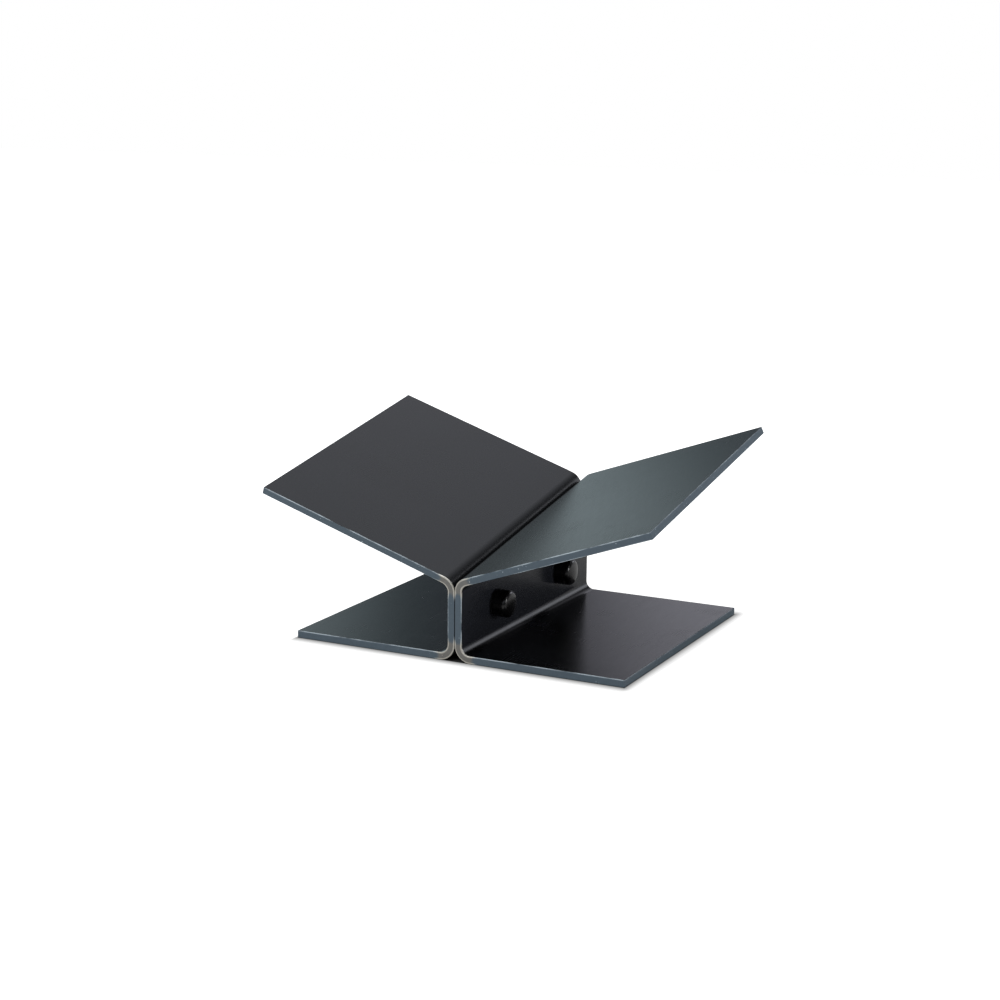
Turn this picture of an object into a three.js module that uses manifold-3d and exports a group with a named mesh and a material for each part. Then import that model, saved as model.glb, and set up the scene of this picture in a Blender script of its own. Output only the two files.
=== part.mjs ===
// Bookstand of two bent steel plates, clamped back to back by two thumb screws.
//
// Millimetres, +Z up, +Y to the back. X = 0 is the middle plane between the plates, Z = 0 is
// the table and Y = 0 is halfway between the stand's foremost and rearmost points.
// Each plate is a flat foot, an upright web and a wing. The line along which the two wings
// meet, the trough, climbs towards the back, so that pages on it tilt towards the reader.

import * as THREE from 'three';
import { mergeVertices } from 'three/addons/utils/BufferGeometryUtils.js';
import Module from 'manifold-3d';

const wasm = await Module();
wasm.setup();

// ---- Driving dimensions: the plates ----

const DEPTH = 200;               // foot and web, front to back
const SHEET = 5;                 // plate thickness
const BEND_INNER_RADIUS = 6;     // inside of both bends
const FOOT_REACH = 122;          // middle plane to the foot's outer edge
const WING_REACH = 150;          // trough line to the wing's outer edge, along the slope
const WING_RISE_DEG = 20;        // slope of a wing, from the trough outwards
const TROUGH_RISE_DEG = 10;      // climb of the trough, from front to back
const TROUGH_FRONT_HEIGHT = 55;  // height of the trough line over the web's front edge
const CORNER_RADIUS = 0.8;       // cut corners of foot and wing
const EDGE_BREAK = 0.4;          // bevel along every cut arris
const PLATE_GAP = 0.3;           // paint and flatness between the two webs

// ---- Driving dimensions: the two thumb screws ----

const STUD_RADIUS = 3;           // M6
const THREAD_PITCH = 1;          // of M6, so one turn of the nut moves it this far
const ENGAGED_TURNS = 7;         // of thread, inside the nut and inside the head
const STUD_HEIGHT = 29.5;        // axis over the table
const STUD_EDGE_DISTANCE = 50;   // axis to the web's front or back edge
const STUD_HOLE_CLEARANCE = 0.3; // radial, in the web's holes and the washers
const THREAD_CLEARANCE = 0.08;   // radial, in the nut's and the head's bores
const BORE_SPARE_DEPTH = 0.5;    // bore beyond the stud's end
const STUD_END_CHAMFER = 0.6;

const KNOB_RADIUS = 9.5;
const KNOB_LENGTH = 11.8;
const KNOB_EDGE_RADIUS = 3;      // between the side and the crown
const KNOB_CROWN_RADIUS = 36;    // sphere of the slightly domed outer end
const KNOB_BASE_CHAMFER = 0.4;
const BORE_MOUTH_CHAMFER = 0.4;

const WASHER_RADIUS = 8.5;
const WASHER_THICKNESS = 0.8;

// ---- Facets and cuts ----

const BEND_STEPS = 8;
const CORNER_STEPS = 3;
const KNOB_FACETS = 48;
const STUD_FACETS = 32;
const EDGE_STEPS = 6;
const CROWN_STEPS = 4;
const MERGE_DISTANCE = 1e-5;     // points closer than this are one corner
const DRILL_OVERRUN = 2;         // how far a cut runs past the surfaces that it opens

// ---- What follows from them ----

const WING_RISE = THREE.MathUtils.degToRad(WING_RISE_DEG);
const TROUGH_RISE = THREE.MathUtils.degToRad(TROUGH_RISE_DEG);
const BEND_OUTER_RADIUS = BEND_INNER_RADIUS + SHEET;
const WEB_BACK = PLATE_GAP / 2;            // web face that the other plate lies against
const WEB_FACE = WEB_BACK + SHEET;         // open web face, which carries the knobs
const BEND_AXIS_X = WEB_BACK + BEND_OUTER_RADIUS;
const LOWER_BEND_END = BEND_OUTER_RADIUS;  // height at which the web starts

// The upper bend turns the upright sheet into the wing.
const UPPER_BEND_ANGLE = Math.PI / 2 - WING_RISE;
const UPPER_SETBACK = BEND_OUTER_RADIUS * Math.tan(UPPER_BEND_ANGLE / 2);
const TROUGH_LENGTH = DEPTH / Math.cos(TROUGH_RISE);
const WEB_FRONT_TOP = TROUGH_FRONT_HEIGHT - UPPER_SETBACK / Math.cos(TROUGH_RISE);

// A wing is square to the trough, so its outer end leans out over the front.
const WING_END_RISE = UPPER_SETBACK + WING_REACH * Math.sin(WING_RISE);
const WING_FRONT_LEAN = WING_END_RISE * Math.sin(TROUGH_RISE);
const WEB_FRONT_Y = (WING_FRONT_LEAN - DEPTH) / 2;
const WEB_REAR_Y = WEB_FRONT_Y + DEPTH;

const KNOB_SEAT = WEB_FACE + WASHER_THICKNESS;
const BORE_RADIUS = STUD_RADIUS + THREAD_CLEARANCE;
const THREAD_ENGAGEMENT = ENGAGED_TURNS * THREAD_PITCH;
const BORE_DEPTH = THREAD_ENGAGEMENT + BORE_SPARE_DEPTH;
const STUD_LENGTH = 2 * (KNOB_SEAT + THREAD_ENGAGEMENT);
const STUD_HOLE_RADIUS = STUD_RADIUS + STUD_HOLE_CLEARANCE;
const STUD_STATIONS = [
  { name: 'front', y: WEB_FRONT_Y + STUD_EDGE_DISTANCE },
  { name: 'rear', y: WEB_REAR_Y - STUD_EDGE_DISTANCE },
];

// ---- Materials ----

function plateSteel() {
  return new THREE.MeshStandardMaterial({ color: 0x34383d, roughness: 0.42, metalness: 0.55 });
}

function knobBlack() {
  return new THREE.MeshStandardMaterial({ color: 0x0b0b0c, roughness: 0.22, metalness: 0.6 });
}

function studSteel() {
  return new THREE.MeshStandardMaterial({ color: 0xa9acb0, roughness: 0.3, metalness: 1 });
}

function washerBlack() {
  return new THREE.MeshStandardMaterial({ color: 0x141415, roughness: 0.6, metalness: 0 });
}

// ---- Solids ----

/** Reads a closed geometry as a solid that can be cut. */
function toSolid(geometry) {
  const bare = geometry.clone();
  bare.deleteAttribute('normal');
  bare.deleteAttribute('uv');
  const merged = mergeVertices(bare, MERGE_DISTANCE);
  return new wasm.Manifold(new wasm.Mesh({
    numProp: 3,
    vertProperties: new Float32Array(merged.attributes.position.array),
    triVerts: new Uint32Array(merged.index.array),
  }));
}

/** Turns a solid back into a geometry. */
function toGeometry(solid) {
  const mesh = solid.getMesh();
  const geometry = new THREE.BufferGeometry();
  geometry.setAttribute('position', new THREE.BufferAttribute(mesh.vertProperties, mesh.numProp));
  geometry.setIndex(new THREE.BufferAttribute(mesh.triVerts, 1));
  geometry.computeVertexNormals();
  return geometry;
}

/** Revolves a closed [radius, along] profile about the X axis, with its base at X = 0. */
function turned(profile, facets) {
  const points = profile.map(([radius, along]) => new THREE.Vector2(radius, along));
  return new THREE.LatheGeometry(points, facets).rotateZ(-Math.PI / 2);
}

/** Numbers from 0 to 1 in equal steps, both ends included. */
function fractions(steps) {
  return Array.from({ length: steps + 1 }, (_, k) => k / steps);
}

// ---- The bent plate ----

// The plate is described by rows, one after another from the foot's outer edge to the wing's.
// A row crosses the plate from front to back and goes once round its section. The outer face
// looks at the table, the other plate or the pages, and the open face looks at the knobs.
// Each arris is broken by a small bevel, so a row has eight points.

/** Places one point of a row: `depth` is 0 on the outer face and 1 on the open face. */
function between(outer, open, depth) {
  return [outer[0] + (open[0] - outer[0]) * depth, outer[1] + (open[1] - outer[1]) * depth];
}

/**
 * A row of eight points. `at(point, along)` puts a section point into space, `length` is the
 * plate's length there, and `face` and `edge` each hold the outer and the open section point
 * and the inset of their ends: on the broad faces, and on the cut edge between the bevels.
 */
function row(at, length, face, edge) {
  const bevelled = EDGE_BREAK / SHEET;
  const onEdge = (depth) => between(edge.outer, edge.open, depth);
  return [
    at(face.outer, face.inset),
    at(onEdge(bevelled), edge.inset),
    at(onEdge(1 - bevelled), edge.inset),
    at(face.open, face.inset),
    at(face.open, length - face.inset),
    at(onEdge(1 - bevelled), length - edge.inset),
    at(onEdge(bevelled), length - edge.inset),
    at(face.outer, length - face.inset),
  ];
}

/** A row across a bend, where the broad faces end one bevel short of the cut edge. */
function plainRow(at, length, outer, open) {
  return row(at, length, { outer, open, inset: EDGE_BREAK }, { outer, open, inset: 0 });
}

/** Puts a section point [x, z] on the foot, the lower bend or the lower end of the web. */
function onLevel([x, z], along) {
  return new THREE.Vector3(x, WEB_FRONT_Y + along, z);
}

/** Puts a section point [x, height over the web's upper end] on the upper bend or the wing. */
function onTrough([x, rise], along) {
  return new THREE.Vector3(
    x,
    WEB_FRONT_Y + along * Math.cos(TROUGH_RISE) - rise * Math.sin(TROUGH_RISE),
    WEB_FRONT_TOP + along * Math.sin(TROUGH_RISE) + rise * Math.cos(TROUGH_RISE),
  );
}

/** The foot's section at `reach` from the middle plane. */
function footSection(reach) {
  return { outer: [reach, 0], open: [reach, SHEET] };
}

/** The wing's section at `reach` from the trough line, measured along the slope. */
function wingSection(reach) {
  const outer = [
    WEB_BACK + reach * Math.cos(WING_RISE),
    UPPER_SETBACK + reach * Math.sin(WING_RISE),
  ];
  const open = [
    outer[0] + SHEET * Math.sin(WING_RISE),
    outer[1] - SHEET * Math.cos(WING_RISE),
  ];
  return { outer, open };
}

/** Rows over the two rounded corners at the end of a foot or a wing, outwards. */
function cornerRows(at, length, section, reach) {
  return fractions(CORNER_STEPS).map((part) => {
    const angle = part * Math.PI / 2;
    const onArc = (radius) => ({
      ...section(reach - CORNER_RADIUS + radius * Math.sin(angle)),
      inset: CORNER_RADIUS - radius * Math.cos(angle),
    });
    return row(at, length, onArc(CORNER_RADIUS - EDGE_BREAK), onArc(CORNER_RADIUS));
  });
}

/** Rows round a bend. `turn` gives the direction from the bend's axis, as [x, z], at an angle. */
function bendRows(at, length, axis, fullAngle, turn) {
  return fractions(BEND_STEPS).map((part) => {
    const direction = turn(part * fullAngle);
    const onRadius = (radius) => [axis[0] + radius * direction[0], axis[1] + radius * direction[1]];
    return plainRow(at, length, onRadius(BEND_OUTER_RADIUS), onRadius(BEND_INNER_RADIUS));
  });
}

function plateRows() {
  const downToWeb = (angle) => [-Math.sin(angle), -Math.cos(angle)];
  const webToWing = (angle) => [-Math.cos(angle), Math.sin(angle)];
  return [
    ...cornerRows(onLevel, DEPTH, footSection, FOOT_REACH).reverse(),
    ...bendRows(onLevel, DEPTH, [BEND_AXIS_X, LOWER_BEND_END], Math.PI / 2, downToWeb),
    ...bendRows(onTrough, TROUGH_LENGTH, [BEND_AXIS_X, 0], UPPER_BEND_ANGLE, webToWing),
    ...cornerRows(onTrough, TROUGH_LENGTH, wingSection, WING_REACH),
  ];
}

/** Joins the rows into one closed skin, with a bevelled edge at both ends. */
function skinOf(rows) {
  const perRow = rows[0].length;
  const positions = rows.flat().flatMap((point) => point.toArray());
  const index = [];
  const quad = (a, b, c, d) => index.push(a, b, c, a, c, d);
  for (let number = 0; number + 1 < rows.length; number += 1) {
    const here = number * perRow;
    const next = here + perRow;
    for (let side = 0; side < perRow; side += 1) {
      const other = (side + 1) % perRow;
      quad(here + side, here + other, next + other, next + side);
    }
  }
  const last = (rows.length - 1) * perRow;
  for (let side = 0; side < perRow / 2 - 1; side += 1) {
    const across = perRow - 1 - side;
    quad(across, across - 1, side + 1, side);
    quad(last + side, last + side + 1, last + across - 1, last + across);
  }
  const geometry = new THREE.BufferGeometry();
  geometry.setAttribute('position', new THREE.Float32BufferAttribute(positions, 3));
  geometry.setIndex(index);
  return geometry;
}

/** The same skin on the other side of the middle plane. */
function mirrored(geometry) {
  const copy = geometry.clone().scale(-1, 1, 1);
  const index = copy.index.array;
  for (let k = 0; k < index.length; k += 3) {
    [index[k], index[k + 1]] = [index[k + 1], index[k]];
  }
  return copy;
}

/** Cuts the two stud holes through a plate's web. */
function withStudHoles(geometry) {
  let solid = toSolid(geometry);
  for (const { y } of STUD_STATIONS) {
    const reach = 2 * (WEB_FACE + DRILL_OVERRUN);
    const drill = new THREE.CylinderGeometry(STUD_HOLE_RADIUS, STUD_HOLE_RADIUS, reach, STUD_FACETS);
    drill.rotateZ(Math.PI / 2).translate(0, y, STUD_HEIGHT);
    solid = solid.subtract(toSolid(drill));
  }
  return toGeometry(solid);
}

// ---- The thumb screws ----

/** Profile of a turned knob with a blind bore in its base, as [radius, along]. */
function knobProfile() {
  // The rounded edge runs tangent to the side and to the crown, which it meets at this slope.
  const crownSlope = Math.asin((KNOB_RADIUS - KNOB_EDGE_RADIUS)
    / (KNOB_CROWN_RADIUS - KNOB_EDGE_RADIUS));
  const crownAt = (slope) => [
    KNOB_CROWN_RADIUS * Math.sin(slope),
    KNOB_LENGTH - KNOB_CROWN_RADIUS * (1 - Math.cos(slope)),
  ];
  const edgeAxis = crownAt(crownSlope)[1] - KNOB_EDGE_RADIUS * Math.cos(crownSlope);
  const edge = fractions(EDGE_STEPS).map((part) => {
    const angle = part * (Math.PI / 2 - crownSlope);
    return [
      KNOB_RADIUS - KNOB_EDGE_RADIUS * (1 - Math.cos(angle)),
      edgeAxis + KNOB_EDGE_RADIUS * Math.sin(angle),
    ];
  });
  const crown = fractions(CROWN_STEPS).slice(1).map((part) => crownAt(crownSlope * (1 - part)));
  return [
    [0, BORE_DEPTH],
    [BORE_RADIUS, BORE_DEPTH],
    [BORE_RADIUS, BORE_MOUTH_CHAMFER],
    [BORE_RADIUS + BORE_MOUTH_CHAMFER, 0],
    [KNOB_RADIUS - KNOB_BASE_CHAMFER, 0],
    [KNOB_RADIUS, KNOB_BASE_CHAMFER],
    ...edge,
    ...crown,
  ];
}

function studProfile() {
  return [
    [0, 0],
    [STUD_RADIUS - STUD_END_CHAMFER, 0],
    [STUD_RADIUS, STUD_END_CHAMFER],
    [STUD_RADIUS, STUD_LENGTH - STUD_END_CHAMFER],
    [STUD_RADIUS - STUD_END_CHAMFER, STUD_LENGTH],
    [0, STUD_LENGTH],
  ];
}

function washerProfile() {
  return [
    [STUD_HOLE_RADIUS, 0],
    [WASHER_RADIUS, 0],
    [WASHER_RADIUS, WASHER_THICKNESS],
    [STUD_HOLE_RADIUS, WASHER_THICKNESS],
    [STUD_HOLE_RADIUS, 0],
  ];
}

/** A knob whose base looks at the web, for the right or the left side of the webs. */
function knobGeometry(onLeft = false) {
  const geometry = turned(knobProfile(), KNOB_FACETS);
  return onLeft ? mirrored(geometry) : geometry;
}

// ---- Assembly ----

function placed(name, geometry, material, x = 0, y = 0, z = 0) {
  const mesh = new THREE.Mesh(geometry, material);
  mesh.name = name;
  mesh.position.set(x, y, z);
  return mesh;
}

function plates() {
  const group = new THREE.Group();
  const skin = skinOf(plateRows());
  group.add(placed('right_plate', withStudHoles(skin), plateSteel()));
  group.add(placed('left_plate', withStudHoles(mirrored(skin)), plateSteel()));
  return group;
}

/** One clamp: nut and washer on the right, screw head, stud and washer on the left. */
function thumbScrew({ name, y }) {
  const group = new THREE.Group();
  const washer = () => turned(washerProfile(), KNOB_FACETS);
  group.position.set(0, y, STUD_HEIGHT);
  group.add(placed(`${name}_nut_washer`, washer(), washerBlack(), WEB_FACE));
  group.add(placed(`${name}_thumb_nut`, knobGeometry(), knobBlack(), KNOB_SEAT));
  group.add(placed(`${name}_head_washer`, washer(), washerBlack(), -KNOB_SEAT));
  group.add(placed(`${name}_screw_head`, knobGeometry(true), knobBlack(), -KNOB_SEAT));
  group.add(placed(`${name}_stud`, turned(studProfile(), STUD_FACETS), studSteel(), -STUD_LENGTH / 2));
  return group;
}

const bookstand = new THREE.Group();
bookstand.add(plates());
for (const station of STUD_STATIONS) {
  bookstand.add(thumbScrew(station));
}

export default bookstand;
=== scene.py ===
"""Looks of a low bookstand: two bent steel plates, clamped back to back by two thumb screws.

Metres, +Z up, +Y to the back. X = 0 is the middle plane between the plates and Z = 0 is the table.
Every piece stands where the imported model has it, and takes the place of its plain solid.
"""

import logging
import math
from dataclasses import dataclass
from enum import Enum
from typing import Callable, Iterable, List, Mapping, Optional, Sequence, Tuple, Union

import bmesh
import bpy
from mathutils import Matrix, Vector


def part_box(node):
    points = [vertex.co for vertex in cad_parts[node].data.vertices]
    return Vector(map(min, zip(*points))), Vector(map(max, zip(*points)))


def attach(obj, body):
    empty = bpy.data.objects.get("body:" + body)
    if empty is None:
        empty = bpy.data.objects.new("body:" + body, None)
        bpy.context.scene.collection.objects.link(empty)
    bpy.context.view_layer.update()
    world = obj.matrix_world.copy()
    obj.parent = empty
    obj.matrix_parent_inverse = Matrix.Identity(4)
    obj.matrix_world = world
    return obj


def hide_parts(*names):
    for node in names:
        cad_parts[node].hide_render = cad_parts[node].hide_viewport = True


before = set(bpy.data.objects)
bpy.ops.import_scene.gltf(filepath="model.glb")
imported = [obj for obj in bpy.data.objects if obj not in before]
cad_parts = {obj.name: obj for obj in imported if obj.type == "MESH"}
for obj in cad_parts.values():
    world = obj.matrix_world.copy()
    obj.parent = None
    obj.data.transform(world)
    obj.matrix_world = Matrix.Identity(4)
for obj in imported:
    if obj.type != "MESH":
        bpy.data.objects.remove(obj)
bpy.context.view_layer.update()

MM = 0.001
LOG = logging.getLogger("bookstand")

Pair = Tuple[float, float]
Colour = Tuple[float, float, float]
RadiusRule = Callable[[float, float], float]
Stop = Tuple[float, Colour]
Ring = Tuple[float, Union[float, RadiusRule]]

FLAT_PLACE = "flat_place"  # place on the sheet before it was bent, and depth into it
CUT_PLACE = "cut_place"    # distances from the sheet's end, front edge and back edge
FACE_DEPTH = "face_depth"  # distance from the outer face
BEND_GAP = "bend_gap"      # distance from the nearest bend
SHARP_ANGLE = math.radians(40)
BLACK: Colour = (0.0, 0.0, 0.0)
WHITE: Colour = (1.0, 1.0, 1.0)


# ---- Shader graphs ----


class Signal:
    """An output socket of a shader graph, on which Python arithmetic adds Math nodes."""

    def __init__(self, graph: "Graph", socket: bpy.types.NodeSocket) -> None:
        """Keeps the socket and the graph that it belongs to."""
        self.graph = graph
        self.socket = socket

    def _maths(self, operation: str, *values: "Value") -> "Signal":
        """Adds one Math node.

        Args:
            operation: The node's operation, such as "ADD".
            values: Its inputs in order, each a signal or a number.

        Returns:
            The node's result.
        """
        return self.graph.node("ShaderNodeMath", {"operation": operation}, dict(enumerate(values)))

    def __add__(self, other: "Value") -> "Signal":
        """Returns self + other."""
        return self._maths("ADD", self, other)

    def __radd__(self, other: "Value") -> "Signal":
        """Returns other + self."""
        return self._maths("ADD", other, self)

    def __sub__(self, other: "Value") -> "Signal":
        """Returns self - other."""
        return self._maths("SUBTRACT", self, other)

    def __rsub__(self, other: "Value") -> "Signal":
        """Returns other - self."""
        return self._maths("SUBTRACT", other, self)

    def __mul__(self, other: "Value") -> "Signal":
        """Returns self * other."""
        return self._maths("MULTIPLY", self, other)

    def __rmul__(self, other: "Value") -> "Signal":
        """Returns other * self."""
        return self._maths("MULTIPLY", other, self)

    def __truediv__(self, other: "Value") -> "Signal":
        """Returns self / other."""
        return self._maths("DIVIDE", self, other)

    def __pow__(self, other: "Value") -> "Signal":
        """Returns self ** other."""
        return self._maths("POWER", self, other)

    def __abs__(self) -> "Signal":
        """Returns the signal without its sign."""
        return self._maths("ABSOLUTE", self)

    def least(self, other: "Value") -> "Signal":
        """Returns the smaller of two values.

        Args:
            other: The value to compare with.

        Returns:
            The smaller one.
        """
        return self._maths("MINIMUM", self, other)

    def most(self, other: "Value") -> "Signal":
        """Returns the larger of two values.

        Args:
            other: The value to compare with.

        Returns:
            The larger one.
        """
        return self._maths("MAXIMUM", self, other)

    def sine(self) -> "Signal":
        """Returns the sine of the signal, in radians."""
        return self._maths("SINE", self)

    def rise(self, low: float, high: float) -> "Signal":
        """Climbs smoothly from 0 at `low` to 1 at `high`.

        Args:
            low: Value at which the climb starts.
            high: Value at which it ends.

        Returns:
            A signal between 0 and 1.
        """
        settings = {"interpolation_type": "SMOOTHSTEP"}
        ends = {"Value": self, "From Min": low, "From Max": high}
        return self.graph.node("ShaderNodeMapRange", settings, ends)

    def fall(self, low: float, high: float) -> "Signal":
        """Falls smoothly from 1 at `low` to 0 at `high`.

        Args:
            low: Value at which the fall starts.
            high: Value at which it ends.

        Returns:
            A signal between 0 and 1.
        """
        return 1.0 - self.rise(low, high)

    def out(self, name: str) -> "Signal":
        """Reaches another output of the same node.

        Args:
            name: The output's name.

        Returns:
            That output.
        """
        return Signal(self.graph, self.graph.pick(self.socket.node.outputs, name))


Value = Union[Signal, float, Sequence[float]]


class Graph:
    """The node graph of one material or of the world."""

    def __init__(self, tree: bpy.types.NodeTree) -> None:
        """Empties the tree, so that every node in it is made here."""
        tree.nodes.clear()
        self.tree = tree

    @staticmethod
    def pick(
        sockets: Iterable[bpy.types.NodeSocket], key: Union[int, str]
    ) -> bpy.types.NodeSocket:
        """Finds a socket by its place or its name, among those that the node's settings show.

        Args:
            sockets: The node's inputs or outputs.
            key: The socket's number or name.

        Returns:
            The socket.
        """
        if isinstance(key, int):
            return list(sockets)[key]
        return next(s for s in sockets if s.enabled and key in (s.name, s.identifier))

    def node(
        self,
        kind: str,
        settings: Optional[Mapping[str, object]] = None,
        inputs: Optional[Mapping[Union[int, str], Value]] = None,
        output: Union[int, str] = 0,
    ) -> Signal:
        """Adds a node: its settings first, then the values and links of its inputs.

        Args:
            kind: The node's type, such as "ShaderNodeMath".
            settings: Its properties. "stops" holds a ramp's (position, colour) pairs.
            inputs: What goes into its sockets, by number or name.
            output: Which output to return.

        Returns:
            That output as a signal.
        """
        made = self.tree.nodes.new(kind)
        for name, value in (settings or {}).items():
            if name == "stops":
                self._set_stops(made.color_ramp.elements, value)
            else:
                setattr(made, name, value)
        for key, value in (inputs or {}).items():
            target = self.pick(made.inputs, key)
            if isinstance(value, Signal):
                self.tree.links.new(value.socket, target)
            elif target.type == "RGBA" and len(value) == 3:
                target.default_value = (*value, 1.0)
            else:
                target.default_value = value
        if not made.outputs:
            return Signal(self, made.inputs[0])
        return Signal(self, self.pick(made.outputs, output))

    @staticmethod
    def _set_stops(elements: bpy.types.ColorRampElements, stops: Sequence[Stop]) -> None:
        """Sets a ramp's stops, from its start to its end.

        Args:
            elements: The ramp's own stops.
            stops: The position and the colour of each stop.
        """
        while len(elements) < len(stops):
            elements.new(1.0)
        for element, (position, colour) in zip(elements, stops):
            element.position = position
            element.color = (*colour, 1.0)

    def noise(
        self, at: Signal, scale: float, detail: float = 2.0, roughness: float = 0.5
    ) -> Signal:
        """Adds a noise texture, from 0 to 1.

        Args:
            at: Where it is read, in metres.
            scale: Features to a metre.
            detail: Octaves of finer noise.
            roughness: How strong the finer octaves are.

        Returns:
            The noise value.
        """
        inputs = {"Vector": at, "Scale": scale, "Detail": detail, "Roughness": roughness}
        return self.node("ShaderNodeTexNoise", None, inputs)

    def attribute(self, name: str, output: str) -> Signal:
        """Reads what a mesh carries at each of its points.

        Args:
            name: The attribute's name.
            output: "Vector" for a place, "Fac" for a distance.

        Returns:
            The attribute.
        """
        return self.node("ShaderNodeAttribute", {"attribute_name": name}, None, output)

    def object_place(self) -> Signal:
        """Returns the place in the object's own frame."""
        return self.node("ShaderNodeTexCoord", None, None, "Object")

    def parts(self, vector: Signal) -> Signal:
        """Splits a vector into its parts.

        Args:
            vector: The vector.

        Returns:
            Its X part, whose other outputs are "Y" and "Z".
        """
        return self.node("ShaderNodeSeparateXYZ", None, {0: vector})

    def stretched(self, at: Signal, factors: Sequence[float], offset: Sequence[float]) -> Signal:
        """Scales and shifts a place.

        Args:
            at: The place.
            factors: What its parts are multiplied by.
            offset: What is then added to them.

        Returns:
            The new place.
        """
        inputs = {0: at, 1: factors, 2: offset}
        return self.node("ShaderNodeVectorMath", {"operation": "MULTIPLY_ADD"}, inputs)

    def blend(self, share: Value, first: Value, second: Value) -> Signal:
        """Mixes two colours.

        Args:
            share: 0 for the first colour, 1 for the second.
            first: A colour or a colour signal.
            second: The other one.

        Returns:
            The mixed colour.
        """
        inputs = {"Factor_Float": share, "A_Color": first, "B_Color": second}
        return self.node("ShaderNodeMix", {"data_type": "RGBA"}, inputs, "Result_Color")

    def from_axis(self, place: Signal) -> Signal:
        """Measures how far a place is from the X axis.

        Args:
            place: The place.

        Returns:
            The distance.
        """
        flat = self.stretched(place, (0.0, 1.0, 1.0), (0.0, 0.0, 0.0))
        return self.node("ShaderNodeVectorMath", {"operation": "LENGTH"}, {0: flat}, "Value")

    def bump(self, height: Signal, depth: float, strength: float = 1.0) -> Signal:
        """Turns a height from 0 to 1 into a normal.

        Args:
            height: The relief.
            depth: How far it reaches, in metres.
            strength: How much of it is used.

        Returns:
            The bent normal.
        """
        inputs = {"Height": height, "Distance": depth, "Strength": strength}
        return self.node("ShaderNodeBump", None, inputs)

    def surface(self, inputs: Mapping[str, Value]) -> None:
        """Ends a material's graph in one surface shader.

        Args:
            inputs: What goes into the shader's sockets, by name.
        """
        shader = self.node("ShaderNodeBsdfPrincipled", None, inputs)
        self.node("ShaderNodeOutputMaterial", {"is_active_output": True}, {"Surface": shader})


def new_material(name: str) -> Tuple[bpy.types.Material, Graph]:
    """Makes an empty material.

    Args:
        name: The material's name.

    Returns:
        The material and its graph.
    """
    material = bpy.data.materials.new(name)
    material.use_nodes = True
    return material, Graph(material.node_tree)


# ---- Finishes ----


@dataclass(frozen=True)
class Wear:
    """Where a plate's finish is rubbed: masks from 0 to 1."""

    arris: Signal
    at_bend: Signal
    band: Signal


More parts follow.
